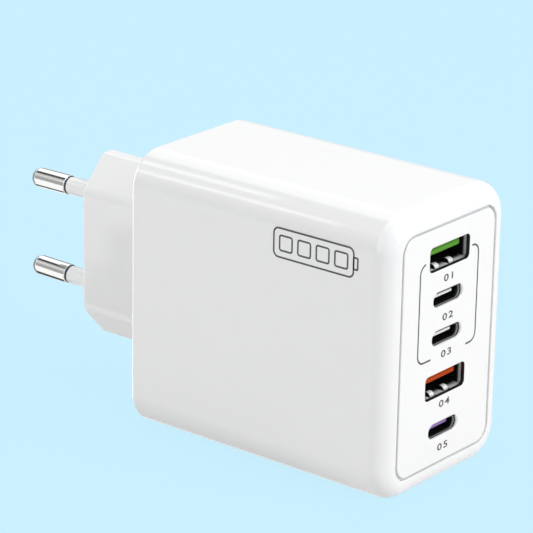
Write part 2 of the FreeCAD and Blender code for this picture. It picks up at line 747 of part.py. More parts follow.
def board_parts():
    """Name and solid of every part that stands on the main board, cell by cell."""
    parts = {}
    for index, stagger in enumerate((bulk_capacitor_stagger, -bulk_capacitor_stagger)):
        y, z = cell(index, 2)
        can = can_capacitor(bulk_capacitor_diameter, bulk_capacitor_height)
        parts[f"bulk_capacitor_{index + 1}"] = on_board(can, y, z + stagger)
    y, z = cell(2, 2)
    can = can_capacitor(output_capacitor_diameter, output_capacitor_height)
    for index, offset in enumerate((-output_capacitor_pitch / 2, output_capacitor_pitch / 2)):
        parts[f"output_capacitor_{index + 1}"] = on_board(can, y, z + offset)
    y, z = cell(0, 1)
    parts["choke_core"] = on_board(make_choke_core(), y, z)
    parts["choke_winding"] = on_board(make_choke_winding(), y, z)
    y, z = cell(1, 1)
    parts["transformer_core"] = on_board(make_transformer_core(), y, z)
    parts["transformer_bobbin"] = on_board(make_transformer_bobbin(), y, z)
    parts["transformer_winding"] = on_board(make_transformer_winding(), y, z)
    y, z = cell(2, 1)
    offset = (inductor_size + disc_capacitor_thickness + pair_gap) / 2
    parts["power_inductor_1"] = on_board(make_inductor(), y, z - offset + inductor_size / 2)
    parts["disc_capacitor"] = on_board(make_disc_capacitor(), y, z + offset - disc_capacitor_thickness / 2)
    y, z = cell(0, 0)
    offset = (x_capacitor_width + fuse_width + pair_gap) / 2
    fuse = block(fuse_length, fuse_width, fuse_height)
    parts["x_capacitor"] = on_board(make_x_capacitor(), y - offset + x_capacitor_width / 2, z)
    parts["mains_fuse"] = on_board(fuse, y + offset - fuse_width / 2, z)
    y, z = cell(1, 0)
    sink = block(heat_sink_length, heat_sink_thickness, heat_sink_height)
    bridge = block(bridge_length, bridge_depth, bridge_height)
    y_transistor = y - (heat_sink_thickness + transistor_depth) / 2
    parts["heat_sink"] = on_board(sink, y, z)
    parts["power_transistor"] = on_board(make_transistor(), y_transistor, z)
    parts["bridge_rectifier"] = on_board(bridge, y + (heat_sink_thickness + bridge_depth) / 2, z)
    y, z = cell(2, 0)
    parts["power_inductor_2"] = on_board(make_inductor(), y, z)
    return parts


def all_parts():
    """Every piece of the charger by its name."""
    parts = {
        "main_housing": make_main_housing(),
        "front_panel": make_front_panel(),
        "plug_cover": make_plug_cover(),
        "port_board": make_port_board(),
        "main_board": make_main_board(),
        "board_link_pins": make_link_pins(),
        "insulation_sheet": make_insulation_sheet(),
        "controller_chips": make_chips(),
    }
    for name, side in (("upper", 1), ("lower", -1)):
        parts[f"pin_{name}"] = make_pin(side)
        parts[f"pin_sleeve_{name}"] = make_pin_sleeve(side)
        parts[f"pin_strip_{name}"] = make_pin_strip(side)
    makers = {"usb_a": (make_usb_a_shell, make_usb_a_tongue, make_usb_a_contacts),
              "usb_c": (make_usb_c_shell, make_usb_c_tongue, make_usb_c_contacts)}
    for kind, number, z in port_places():
        for piece, make in zip(("shell", "tongue", "contacts"), makers[kind]):
            parts[f"{kind}_{piece}_{number}"] = make(z)
    parts.update(board_parts())
    return parts


def main():
    os.makedirs("parts", exist_ok=True)
    for name, shape in all_parts().items():
        shape.exportStep(f"parts/{name}.step")
        solids = shape.Solids
        volume = sum(solid.Volume for solid in solids)
        print(f"{name}: {len(solids)} solid(s), {volume:.2f} mm3, valid {shape.isValid()}")


main()
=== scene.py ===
import json
import math
import bpy
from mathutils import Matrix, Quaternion, Vector


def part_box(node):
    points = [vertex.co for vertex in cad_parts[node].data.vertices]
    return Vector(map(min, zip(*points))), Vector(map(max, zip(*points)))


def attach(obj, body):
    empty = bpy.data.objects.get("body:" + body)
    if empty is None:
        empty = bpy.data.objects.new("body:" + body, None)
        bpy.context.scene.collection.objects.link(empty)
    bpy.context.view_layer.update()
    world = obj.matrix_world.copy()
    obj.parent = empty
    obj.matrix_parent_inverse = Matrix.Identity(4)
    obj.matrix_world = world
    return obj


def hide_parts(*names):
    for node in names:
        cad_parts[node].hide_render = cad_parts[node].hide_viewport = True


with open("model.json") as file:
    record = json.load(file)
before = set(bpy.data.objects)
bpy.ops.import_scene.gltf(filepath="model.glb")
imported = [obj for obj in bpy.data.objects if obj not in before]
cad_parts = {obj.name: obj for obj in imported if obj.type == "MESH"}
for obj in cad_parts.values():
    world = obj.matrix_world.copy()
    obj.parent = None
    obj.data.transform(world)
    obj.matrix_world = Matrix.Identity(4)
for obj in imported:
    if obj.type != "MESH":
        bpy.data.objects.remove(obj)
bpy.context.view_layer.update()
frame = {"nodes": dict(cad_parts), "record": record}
nodes = frame["nodes"]
slotOf = {part["node"]: part["material_slot"] for part in frame["record"]["subparts"]}
print("frame loaded,", len(nodes), "nodes")


# small helpers

def deselectAll():
    bpy.ops.object.select_all(action="DESELECT")


def pickOnly(piece):
    deselectAll()
    piece.select_set(True)
    bpy.context.view_layer.objects.active = piece


def applyModifiers(piece):
    pickOnly(piece)
    for modifier in list(piece.modifiers):
        bpy.ops.object.modifier_apply(modifier=modifier.name)


def setPlace(piece, location, rotation=(0.0, 0.0, 0.0)):  # the place goes into the mesh
    pickOnly(piece)
    piece.location = location
    piece.rotation_euler = rotation
    bpy.ops.object.transform_apply(location=True, rotation=True, scale=True)


def setMaterial(piece, material):
    piece.data.materials.clear()
    piece.data.materials.append(material)


def fromLevels(red, green, blue):  # screen levels of 0 to 255 as a linear colour
    linear = []
    for level in (red, green, blue):
        share = level / 255
        linear.append(share / 12.92 if share <= 0.04045 else ((share + 0.055) / 1.055) ** 2.4)
    return (*linear, 1.0)


# shared effects, as node groups

def newGroup(name, inputs, outputs):
    group = bpy.data.node_groups.new(name, "ShaderNodeTree")
    for socketName, kind in inputs:
        group.interface.new_socket(name=socketName, in_out="INPUT", socket_type=kind)
    for socketName, kind in outputs:
        group.interface.new_socket(name=socketName, in_out="OUTPUT", socket_type=kind)
    return group, group.nodes.new("NodeGroupInput"), group.nodes.new("NodeGroupOutput")


def colourMix(tree, factor):  # two colour sockets and the colour that is mixed from them
    mix = tree.nodes.new("ShaderNodeMix")
    mix.data_type = "RGBA"
    tree.links.new(factor, mix.inputs["Factor"])
    return mix.inputs[6], mix.inputs[7], mix.outputs[2]  # by number, since other sockets share their names


def finishGroup(group, entry, leave, tint, gloss, height):
    # tint picks the colour, gloss the roughness, height goes to the bump
    first, second, mixed = colourMix(group, tint)
    group.links.new(entry.outputs["Pale"], first)
    group.links.new(entry.outputs["Deep"], second)
    spread = group.nodes.new("ShaderNodeMapRange")
    group.links.new(gloss, spread.inputs["Value"])
    group.links.new(entry.outputs["Smooth"], spread.inputs["To Min"])
    group.links.new(entry.outputs["Rough"], spread.inputs["To Max"])
    group.links.new(mixed, leave.inputs["Colour"])
    group.links.new(spread.outputs["Result"], leave.inputs["Roughness"])
    group.links.new(height, leave.inputs["Height"])


surfaceOutputs = [("Colour", "NodeSocketColor"), ("Roughness", "NodeSocketFloat"), ("Height", "NodeSocketFloat")]
finishInputs = [
    ("Pale", "NodeSocketColor"), ("Deep", "NodeSocketColor"),
    ("Smooth", "NodeSocketFloat"), ("Rough", "NodeSocketFloat"),
]
grainValues = {"cloudDetail": 3.0, "skinDetail": 2.0, "lineDetail": 4.0}


def makeMouldedGrain():  # soft clouds in the colour and a fine skin from the mould
    inputs = [("Vector", "NodeSocketVector"), ("Cloud Scale", "NodeSocketFloat"), ("Skin Scale", "NodeSocketFloat")]
    group, entry, leave = newGroup("mouldedGrain", inputs + finishInputs, surfaceOutputs)
    cloud = group.nodes.new("ShaderNodeTexNoise")
    cloud.inputs["Detail"].default_value = grainValues["cloudDetail"]
    skin = group.nodes.new("ShaderNodeTexNoise")
    skin.inputs["Detail"].default_value = grainValues["skinDetail"]
    for texture, scale in ((cloud, "Cloud Scale"), (skin, "Skin Scale")):
        group.links.new(entry.outputs["Vector"], texture.inputs["Vector"])
        group.links.new(entry.outputs[scale], texture.inputs["Scale"])
    finishGroup(group, entry, leave, cloud.outputs["Fac"], skin.outputs["Fac"], skin.outputs["Fac"])
    return group


def makeDrawnLines():  # fine lines along the way a metal was drawn or turned
    inputs = [("Vector", "NodeSocketVector"), ("Stretch", "NodeSocketVector"), ("Line Scale", "NodeSocketFloat")]
    group, entry, leave = newGroup("drawnLines", inputs + finishInputs, surfaceOutputs)
    stretch = group.nodes.new("ShaderNodeVectorMath")
    stretch.operation = "MULTIPLY"
    group.links.new(entry.outputs["Vector"], stretch.inputs[0])
    group.links.new(entry.outputs["Stretch"], stretch.inputs[1])
    lines = group.nodes.new("ShaderNodeTexNoise")
    lines.inputs["Detail"].default_value = grainValues["lineDetail"]
    group.links.new(stretch.outputs["Vector"], lines.inputs["Vector"])
    group.links.new(entry.outputs["Line Scale"], lines.inputs["Scale"])
    finishGroup(group, entry, leave, lines.outputs["Fac"], lines.outputs["Fac"], lines.outputs["Fac"])
    return group


def makePortShade():  # a colour that goes dark with depth behind the port panel, where little light gets in
    inputs = [
        ("Vector", "NodeSocketVector"), ("Colour", "NodeSocketColor"), ("Dark", "NodeSocketColor"),
        ("Start", "NodeSocketFloat"), ("End", "NodeSocketFloat"),
    ]
    group, entry, leave = newGroup("portShade", inputs, [("Colour", "NodeSocketColor")])
    axes = group.nodes.new("ShaderNodeSeparateXYZ")
    group.links.new(entry.outputs["Vector"], axes.inputs["Vector"])
    depth = group.nodes.new("ShaderNodeMapRange")
    depth.interpolation_type = "SMOOTHSTEP"
    group.links.new(axes.outputs["Y"], depth.inputs["Value"])
    group.links.new(entry.outputs["Start"], depth.inputs["From Min"])
    group.links.new(entry.outputs["End"], depth.inputs["From Max"])
    first, second, mixed = colourMix(group, depth.outputs["Result"])
    group.links.new(entry.outputs["Colour"], first)
    group.links.new(entry.outputs["Dark"], second)
    group.links.new(mixed, leave.inputs["Colour"])
    return group


mouldedGrain = makeMouldedGrain()
drawnLines = makeDrawnLines()
portShade = makePortShade()
print("node groups made")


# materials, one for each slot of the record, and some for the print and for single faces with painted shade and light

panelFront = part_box("front_panel")[0].y
shadeValues = {  # depths behind the panel's front between which a piece of a port goes dark with painted shade
    "dark": (0.006, 0.006, 0.006),
    "usb_a_tongue": (0.00190, 0.00235), "usb_c_tongue": (0.00180, 0.00198), "contacts": (0.0010, 0.0018),
    "usb_a_walls": (0.00115, 0.00170), "usb_a_floor": (0.0015, 0.0029), "usb_c_walls": (0.0003, 0.0012),
    "lip": (0.00010, 0.00070), "groove": (0.00005, 0.00055),
}


def newMaterial(name, group, values):
    material = bpy.data.materials.new(name)
    material.use_nodes = True
    tree = material.node_tree
    shader = tree.nodes["Principled BSDF"]
    coords = tree.nodes.new("ShaderNodeTexCoord")
    effect = tree.nodes.new("ShaderNodeGroup")
    effect.node_tree = group
    tree.links.new(coords.outputs["Object"], effect.inputs["Vector"])
    for socketName, value in values["effect"].items():
        effect.inputs[socketName].default_value = value
    bump = tree.nodes.new("ShaderNodeBump")
    bump.inputs["Strength"].default_value = values["bump"]
    bump.inputs["Distance"].default_value = values["depth"]
    colour = effect.outputs["Colour"]
    if "shade" in values:
        start, end = values["shade"]
        shade = tree.nodes.new("ShaderNodeGroup")
        shade.node_tree = portShade
        shade.inputs["Dark"].default_value = (*values.get("dark", shadeValues["dark"]), 1.0)
        shade.inputs["Start"].default_value = panelFront + start
        shade.inputs["End"].default_value = panelFront + end
        tree.links.new(coords.outputs["Object"], shade.inputs["Vector"])
        tree.links.new(colour, shade.inputs["Colour"])
        colour = shade.outputs["Colour"]
    tree.links.new(colour, shader.inputs["Base Color"])
    tree.links.new(effect.outputs["Roughness"], shader.inputs["Roughness"])
    tree.links.new(effect.outputs["Height"], bump.inputs["Height"])
    tree.links.new(bump.outputs["Normal"], shader.inputs["Normal"])
    for socketName, value in values["shader"].items():
        shader.inputs[socketName].default_value = value
    return material


def moulded(pale, deep, smooth, rough, cloud=120.0, skin=2500.0, bump=0.06, depth=0.00002, **shader):
    return {
        "effect": {
            "Pale": (*pale, 1.0), "Deep": (*deep, 1.0), "Smooth": smooth, "Rough": rough,
            "Cloud Scale": cloud, "Skin Scale": skin,
        },
        "bump": bump, "depth": depth, "shader": shader,
    }


def drawn(pale, deep, smooth, rough, stretch, lines=900.0, bump=0.05, depth=0.00001, **shader):
    return {
        "effect": {
            "Pale": (*pale, 1.0), "Deep": (*deep, 1.0), "Smooth": smooth, "Rough": rough,
            "Stretch": stretch, "Line Scale": lines,
        },
        "bump": bump, "depth": depth, "shader": {"Metallic": 1.0, **shader},
    }


alongY = (1.0, 0.04, 1.0)  # lines run along the charger's depth
alongZ = (1.0, 1.0, 0.04)  # lines run upwards
alongTurns = (1.0, 0.1, 1.0)  # turns of wire, side by side
roundAxis = (0.05, 1.0, 0.05)  # lines run round the pins
dullSkin, glossySkin = {"Specular IOR Level": 0.06}, {"Specular IOR Level": 0.65}

plasticFinishes = {
    "white_plastic": moulded(
        (0.885, 0.888, 0.892), (0.872, 0.876, 0.881), 0.08, 0.12, cloud=60.0, skin=1400.0, bump=0.02,
        **glossySkin,
    ),
    "green_plastic": moulded((0.13, 0.38, 0.045), (0.10, 0.31, 0.035), 0.34, 0.46, **dullSkin),
    "orange_plastic": moulded((0.57, 0.070, 0.009), (0.46, 0.054, 0.007), 0.34, 0.46, **dullSkin),
    "natural_plastic": moulded((0.94, 0.94, 0.93), (0.90, 0.90, 0.89), 0.32, 0.45),
    "purple_plastic": moulded((0.38, 0.23, 0.60), (0.31, 0.18, 0.52), 0.32, 0.45),
    "board_laminate": moulded((0.03, 0.24, 0.10), (0.02, 0.17, 0.07), 0.35, 0.5, cloud=700.0),
    "film_sheet": moulded((0.06, 0.06, 0.06), (0.04, 0.04, 0.045), 0.4, 0.55),
    "chip_black": moulded((0.035, 0.035, 0.037), (0.022, 0.022, 0.024), 0.45, 0.6, bump=0.2),
    "ferrite": moulded((0.075, 0.073, 0.072), (0.045, 0.045, 0.046), 0.55, 0.75, bump=0.3),
    "winding_tape": moulded((0.76, 0.56, 0.10), (0.66, 0.46, 0.07), 0.35, 0.5),
    "film_capacitor": moulded((0.85, 0.66, 0.09), (0.76, 0.56, 0.06), 0.35, 0.5),
    "fuse_body": moulded((0.26, 0.125, 0.06), (0.19, 0.09, 0.045), 0.3, 0.45),
    "disc_blue": moulded((0.07, 0.21, 0.52), (0.045, 0.15, 0.42), 0.35, 0.5, bump=0.2),
}
metalFinishes = {
    "plated_pin": drawn((0.86, 0.855, 0.84), (0.78, 0.775, 0.76), 0.08, 0.12, roundAxis, lines=2200.0, bump=0.015),
    "shell_steel": drawn((0.92, 0.92, 0.92), (0.82, 0.82, 0.83), 0.34, 0.48, alongY, Metallic=0.2),
    "contact_gold": drawn((0.86, 0.66, 0.30), (0.72, 0.53, 0.22), 0.2, 0.32, alongY),
    "capacitor_can": drawn((0.58, 0.59, 0.61), (0.50, 0.51, 0.53), 0.3, 0.45, alongZ),
    "copper_winding": drawn((0.66, 0.31, 0.13), (0.42, 0.17, 0.06), 0.25, 0.4, alongTurns, bump=0.4),
    "sink_aluminium": drawn((0.72, 0.72, 0.74), (0.60, 0.60, 0.62), 0.3, 0.45, alongZ),
}
portFinishes = {  # by the start of a node's name, with the depths between which painted shade darkens it
    "usb_a_shell": "usb_a_walls", "usb_c_shell": "usb_c_walls", "usb_a_tongue": "usb_a_tongue",
    "usb_c_tongue": "usb_c_tongue", "usb_a_contacts": "contacts", "usb_c_contacts": "contacts",
}
# painted light: a brighter, less metallic copy of the shell steel, for the floor and the spring tops
paintedLitShellFinish = drawn((0.98, 0.98, 0.98), (0.93, 0.93, 0.93), 0.30, 0.42, alongY, Metallic=0.1)
whiteFinish = plasticFinishes["white_plastic"]
faceFinishes = {  # for the print, and for single faces with painted shade and painted light, each with its effect
    "print_ink": (
        mouldedGrain, moulded((0.085, 0.085, 0.09), (0.06, 0.06, 0.065), 0.45, 0.6, cloud=1500.0, skin=6000.0),
    ),
    # painted shade: near-black on the white panel's port hole walls and on mouth faces that look down
    "port_rim": (mouldedGrain, moulded((0.012, 0.012, 0.012), (0.008, 0.008, 0.008), 0.4, 0.55)),
    # painted shade: the white plastic darkens with depth in the rounded port mouths
    "port_lip": (mouldedGrain, {**whiteFinish, "shade": shadeValues["lip"], "dark": (0.60, 0.60, 0.60)}),
    # painted shade: the white plastic darkens with depth in the groove round the panel
    "panel_groove": (mouldedGrain, {**whiteFinish, "shade": shadeValues["groove"], "dark": (0.70, 0.70, 0.70)}),
    # painted highlight: the spring tops keep the brightened steel without painted shade
    "shell_spring_steel": (drawnLines, paintedLitShellFinish),
    # painted light and shade: the brightened steel on the floor, darkening with depth
    "shell_floor_steel": (drawnLines, {**paintedLitShellFinish, "shade": shadeValues["usb_a_floor"]}),
    # painted shade: a dark copy of the pin metal on the neck beside the sleeve
    "pin_neck_metal": (drawnLines, drawn((0.34, 0.34, 0.34), (0.24, 0.24, 0.24), 0.25, 0.35, roundAxis)),
}

finishes = {}
for slotName, values in plasticFinishes.items():
    finishes[slotName] = newMaterial(slotName, mouldedGrain, values)
for slotName, values in metalFinishes.items():
    finishes[slotName] = newMaterial(slotName, drawnLines, values)
for finishName, (effect, values) in faceFinishes.items():
    finishes[finishName] = newMaterial(finishName, effect, values)


def portMaterial(nodeName):  # the slot's finish, with painted shade that darkens it with depth
    start = next(part for part in portFinishes if nodeName.startswith(part))
    name = f"{slotOf[nodeName]}_{start}"
    if name not in finishes:
        metal = slotOf[nodeName] in metalFinishes
        values = (metalFinishes if metal else plasticFinishes)[slotOf[nodeName]]
        values = {**values, "shade": shadeValues[portFinishes[start]]}
        finishes[name] = newMaterial(name, drawnLines if metal else mouldedGrain, values)
    return finishes[name]


for nodeName, node in nodes.items():
    inPort = any(nodeName.startswith(part) for part in portFinishes)
    setMaterial(node, portMaterial(nodeName) if inPort else finishes[slotOf[nodeName]])
print("materials made,", len(finishes))


# outer pieces: merged, smooth-shaded copies of the nodes that show

dressValues = {
    "mergeDistance": 0.0000005,
    "sharpAngle": math.radians(32),
    "shown": [
        "main_housing", "front_panel", "plug_cover", "pin_upper", "pin_lower", "pin_sleeve_upper", "pin_sleeve_lower",
        "usb_a_shell", "usb_a_tongue", "usb_a_contacts", "usb_c_shell", "usb_c_tongue", "usb_c_contacts",
    ],
}
skinValues = {"corner": 0.0071, "slack": 0.000005}  # round of the housing's long edges, and what it may differ


def levelRidges(piece):  # the roots of the board rails stand out of two rounded edges, and go back to the skin
    low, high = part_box("main_housing")
    middle = (low + high) / 2
    half, corner = (high - low) / 2, skinValues["corner"]
    flatX, flatZ = half.x - corner, half.z - corner
    moved = 0
    for point in piece.data.vertices:
        fromMiddle = point.co - middle
        acrossX, acrossZ = abs(fromMiddle.x) - flatX, abs(fromMiddle.z) - flatZ
        reach = math.hypot(acrossX, acrossZ)
        if min(acrossX, acrossZ) > 0 and reach > corner + skinValues["slack"]:
            share = corner / reach
            point.co.x = middle.x + math.copysign(flatX + acrossX * share, fromMiddle.x)
            point.co.z = middle.z + math.copysign(flatZ + acrossZ * share, fromMiddle.z)
            moved += 1
    print("points put back to the housing's skin,", moved)


def dressNode(nodeName):
    piece = nodes[nodeName].copy()
    piece.data = nodes[nodeName].data.copy()
    piece.name = piece.data.name = nodeName + "_dressed"
    piece.parent = None
    for key in list(piece.keys()):
        del piece[key]
    bpy.context.collection.objects.link(piece)
    pickOnly(piece)
    bpy.ops.object.mode_set(mode="EDIT")
    bpy.ops.mesh.select_all(action="SELECT")
    bpy.ops.mesh.remove_doubles(threshold=dressValues["mergeDistance"])
    bpy.ops.mesh.customdata_custom_splitnormals_clear()
    bpy.ops.object.mode_set(mode="OBJECT")
    if nodeName == "main_housing":
        levelRidges(piece)
    bpy.ops.object.shade_smooth_by_angle(angle=dressValues["sharpAngle"])
    weighted = piece.modifiers.new("weighted", "WEIGHTED_NORMAL")
    weighted.keep_sharp = True
    applyModifiers(piece)
    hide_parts(nodeName)
    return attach(piece, "root")


def faceMaterial(piece, material, chosen):  # gives the chosen faces a material of their own
    piece.data.materials.append(material)
    for face in piece.data.polygons:
        if chosen(face.center, face.normal):
            face.material_index = len(piece.data.materials) - 1


rimValues = {
    "lip": 0.00001, "groove": 0.00004, "usb_a": 0.00006, "usb_c": 0.00046,  # depths behind the panel's front
    "half": 0.0068, "margin": 0.0005,  # reach of a port from the middle line, and round its shell
    "lipFlat": 0.999, "wallFlat": 0.98, "underside": -0.6,  # how far a face looks to the front, or down
}
springValues = {
    "shellWall": 0.0003, "half": 0.004, "foot": 0.0003, "top": 0.0011,  # the fingers in the floor of a wide port
    "floorUp": 0.5, "springUp": 0.1,  # how far a face looks up
}
neckValues = {"ring": 0.00046}  # what shows of the neck beside the sleeve
shellBoxes = {
    kind: [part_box(nodeName) for nodeName in sorted(nodes) if nodeName.startswith(kind + "_shell")]
    for kind in ("usb_a", "usb_c")
}


def nearPort(centre, kind):
    if abs(centre.x) > rimValues["half"]:
        return False
    margin = rimValues["margin"]
    return any(low.z - margin < centre.z < high.z + margin for low, high in shellBoxes[kind])


def inGroove(centre, normal):  # the panel's rim and flange in the groove round it, where painted shade darkens the white plastic with depth
    atPort = nearPort(centre, "usb_a") or nearPort(centre, "usb_c")
    return centre.y > panelFront + rimValues["groove"] and not atPort


def inLip(centre, normal):  # the rounded mouths of the port holes, where painted shade darkens the white plastic with depth
    behind = centre.y - panelFront
    return behind > rimValues["lip"] and abs(normal.y) < rimValues["lipFlat"] and nearPort(centre, "usb_c")


def onSpring(centre, floorTop):  # the tops of the bowed fingers that stand up from the shell's floor, which keep the brightened steel without painted shade, as a painted highlight
    rise = centre.z - floorTop
    return abs(centre.x) < springValues["half"] and springValues["foot"] < rise < springValues["top"]


def inRim(centre, normal):  # the walls of the port holes, and what faces down in the rounded mouths, which get a near-black painted shade
    behind = centre.y - panelFront
    if abs(normal.y) > rimValues["wallFlat"]:
        return False
    if normal.z < rimValues["underside"] and inLip(centre, normal):
        return True
    return any(behind > rimValues[kind] and nearPort(centre, kind) for kind in ("usb_a", "usb_c"))


def dressFaces(piece, nodeName):
    if nodeName == "front_panel":
        faceMaterial(piece, finishes["panel_groove"], inGroove)
        faceMaterial(piece, finishes["port_lip"], inLip)
        faceMaterial(piece, finishes["port_rim"], inRim)
    elif nodeName.startswith("usb_a_shell"):
        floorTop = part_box(nodeName)[0].z + springValues["shellWall"]
        # the floor gets the brightened steel with painted shade; the spring tops get it without, as a painted
        # highlight
        faceMaterial(piece, finishes["shell_floor_steel"], lambda centre, normal: normal.z > springValues["floorUp"])
        faceMaterial(
            piece, finishes["shell_spring_steel"],
            lambda centre, normal: normal.z > springValues["springUp"] and onSpring(centre, floorTop),
        )
    elif nodeName in ("pin_upper", "pin_lower"):  # the neck gets a dark metal as painted shade, so it shows as a dark ring beside the sleeve
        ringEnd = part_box(nodeName.replace("pin_", "pin_sleeve_"))[1].y + neckValues["ring"]
        faceMaterial(piece, finishes["pin_neck_metal"], lambda centre, normal: centre.y < ringEnd)


for nodeName in sorted(nodes):
    if any(nodeName == shown or nodeName.startswith(shown + "_") for shown in dressValues["shown"]):
        dressFaces(dressNode(nodeName), nodeName)
print("outer pieces dressed")


# print on the panel and the side

printValues = {
    "inkHeight": 0.000012,
    "roundSteps": 10,
    "facing": {"front": (math.pi / 2, 0.0, 0.0), "side": (math.pi / 2, 0.0, -math.pi / 2)},
}


def ringOutline(name, width, height, cornerRound, line):  # a thin ring, flat on the ground plane
    deselectAll()
    bpy.ops.mesh.primitive_plane_add(size=1.0)
    piece = bpy.context.object
    piece.name = piece.data.name = name
    piece.scale = (width, height, 1.0)
    bpy.ops.object.transform_apply(scale=True)
    bpy.ops.object.mode_set(mode="EDIT")
    bpy.ops.mesh.select_all(action="SELECT")
    bpy.ops.mesh.bevel(offset=cornerRound, segments=printValues["roundSteps"], affect="VERTICES")
    bpy.ops.mesh.select_all(action="SELECT")
    bpy.ops.mesh.inset(thickness=line)
    bpy.ops.mesh.delete(type="FACE")  # inset leaves the inner face selected
    bpy.ops.object.mode_set(mode="OBJECT")
    return piece


def cutGap(piece, start, end, upper):  # takes the ring away between two places on its upper or lower run
    pickOnly(piece)
    bpy.ops.object.mode_set(mode="EDIT")
    for place in (start, end):
        bpy.ops.mesh.select_all(action="SELECT")
        bpy.ops.mesh.bisect(plane_co=(place, 0.0, 0.0), plane_no=(1.0, 0.0, 0.0))
    bpy.ops.mesh.select_all(action="DESELECT")
    bpy.ops.object.mode_set(mode="OBJECT")
    for face in piece.data.polygons:
        face.select = start < face.center.x < end and (face.center.y > 0) == upper
    bpy.ops.object.mode_set(mode="EDIT")
    bpy.ops.mesh.select_mode(type="FACE")
    bpy.ops.mesh.delete(type="FACE")
    bpy.ops.object.mode_set(mode="OBJECT")


def layInk(piece, location, facing):  # gives the ink its thickness and lays it on its wall
    skin = piece.modifiers.new("ink", "SOLIDIFY")
    skin.thickness = printValues["inkHeight"]
    skin.offset = 1.0
    applyModifiers(piece)
    setPlace(piece, location, printValues["facing"][facing])
    setMaterial(piece, finishes["print_ink"])
    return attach(piece, "root")


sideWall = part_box("main_housing")[0].x

bracketValues = {
    "width": 0.0186, "low": 0.0259, "high": 0.0456, "cornerRound": 0.00195, "line": 0.00036,
    "upperGap": (-0.0075, 0.0070), "lowerGap": (-0.0050, 0.0061),
}
bracket = ringOutline(
    "bracket_print", bracketValues["width"], bracketValues["high"] - bracketValues["low"],
    bracketValues["cornerRound"], bracketValues["line"],
)
cutGap(bracket, *bracketValues["upperGap"], upper=True)
cutGap(bracket, *bracketValues["lowerGap"], upper=False)
layInk(bracket, (0.0, panelFront, (bracketValues["low"] + bracketValues["high"]) / 2), "front")

numeralValues = {
    "heights": [0.0412, 0.0335, 0.0262, 0.0162, 0.0074],
    "size": 0.0019, "drop": 0.00065, "widen": 1.6, "tracking": 1.25, "weight": 0.000035,
}


def makeNumeral(number, height):
    deselectAll()
    bpy.ops.object.text_add()
    piece = bpy.context.object
    piece.name = piece.data.name = f"port_numeral_{number}"
    piece.data.body = f"{number:02d}"
    piece.data.size = numeralValues["size"]
    piece.data.space_character = numeralValues["tracking"]
    piece.data.offset = numeralValues["weight"]
    piece.data.align_x = "CENTER"
    bpy.ops.object.convert(target="MESH")
    piece = bpy.context.object
    piece.scale.x = numeralValues["widen"]
    bpy.ops.object.transform_apply(scale=True)
    return layInk(piece, (0.0, panelFront, height - numeralValues["drop"]), "front")


for count, height in enumerate(numeralValues["heights"]):
    makeNumeral(count + 1, height)

batteryValues = {
    "width": 0.0188, "height": 0.0060, "cornerRound": 0.0013, "line": 0.00036,
    "capWidth": 0.0013, "capHeight": 0.0026, "capRound": 0.0004,
    "bars": 4, "barGap": 0.0010, "barRound": 0.0006, "behindFront": 0.0173, "middle": 0.04675,
}


def makeBattery():
    v = batteryValues
    rings = [ringOutline("battery_print", v["width"], v["height"], v["cornerRound"], v["line"])]
    cap = ringOutline("battery_cap", v["capWidth"], v["capHeight"], v["capRound"], v["line"])
    setPlace(cap, ((v["width"] + v["capWidth"]) / 2 - v["line"], 0.0, 0.0))
    rings.append(cap)
    inside = v["width"] - 2 * v["line"]
    barWidth = (inside - (v["bars"] + 1) * v["barGap"]) / v["bars"]
    barHeight = v["height"] - 2 * v["line"] - 2 * v["barGap"]
    for index in range(v["bars"]):
        bar = ringOutline("battery_bar", barWidth, barHeight, v["barRound"], v["line"])
        step = barWidth + v["barGap"]
        setPlace(bar, ((index - (v["bars"] - 1) / 2) * step, 0.0, 0.0))
        rings.append(bar)
    deselectAll()
    for ring in rings:
        ring.select_set(True)
    bpy.context.view_layer.objects.active = rings[0]
    bpy.ops.object.join()
    return layInk(rings[0], (sideWall, panelFront + v["behindFront"], v["middle"]), "side")


makeBattery()
print("print laid on")


# floor, light and camera

def seenDirectly(tree):  # 1 where the camera, a reflection or a view through glass meets the surface
    path = tree.nodes.new("ShaderNodeLightPath")
    total = path.outputs["Is Camera Ray"]
    for ray in ("Is Glossy Ray", "Is Transmission Ray"):
        larger = tree.nodes.new("ShaderNodeMath")
        larger.operation = "MAXIMUM"
        tree.links.new(total, larger.inputs[0])
        tree.links.new(path.outputs[ray], larger.inputs[1])
        total = larger.outputs["Value"]
    return total


paleBlue = fromLevels(203, 240, 255)
floorValues = {"size": 8.0, "colour": paleBlue, "glow": 0.95, "bounce": 0.65, "roughness": 0.9}


def makeFloor():
    deselectAll()
    bpy.ops.mesh.primitive_plane_add(size=floorValues["size"])
    floor = bpy.context.object
    floor.name = "floor"
    material = bpy.data.materials.new("pale_floor")
    material.use_nodes = True
    tree = material.node_tree
    shader = tree.nodes["Principled BSDF"]
    shader.inputs["Roughness"].default_value = floorValues["roughness"]
    shader.inputs["Specular IOR Level"].default_value = 0.0
    seen = seenDirectly(tree)
    bounced, shown, mixed = colourMix(tree, seen)
    bounced.default_value = (floorValues["bounce"],) * 3 + (1.0,)
    shown.default_value = floorValues["colour"]
    tree.links.new(mixed, shader.inputs["Base Color"])
    glow = tree.nodes.new("ShaderNodeEmission")
    glow.inputs["Color"].default_value = floorValues["colour"]
    share = tree.nodes.new("ShaderNodeMath")
    share.operation = "MULTIPLY"
    share.inputs[1].default_value = floorValues["glow"]
    tree.links.new(seen, share.inputs[0])
    mix = tree.nodes.new("ShaderNodeMixShader")
    tree.links.new(share.outputs["Value"], mix.inputs["Fac"])
    tree.links.new(shader.outputs["BSDF"], mix.inputs[1])
    tree.links.new(glow.outputs["Emission"], mix.inputs[2])
    tree.links.new(mix.outputs["Shader"], tree.nodes["Material Output"].inputs["Surface"])
    setMaterial(floor, material)


worldValues = {"light": 0.52, "colour": paleBlue}


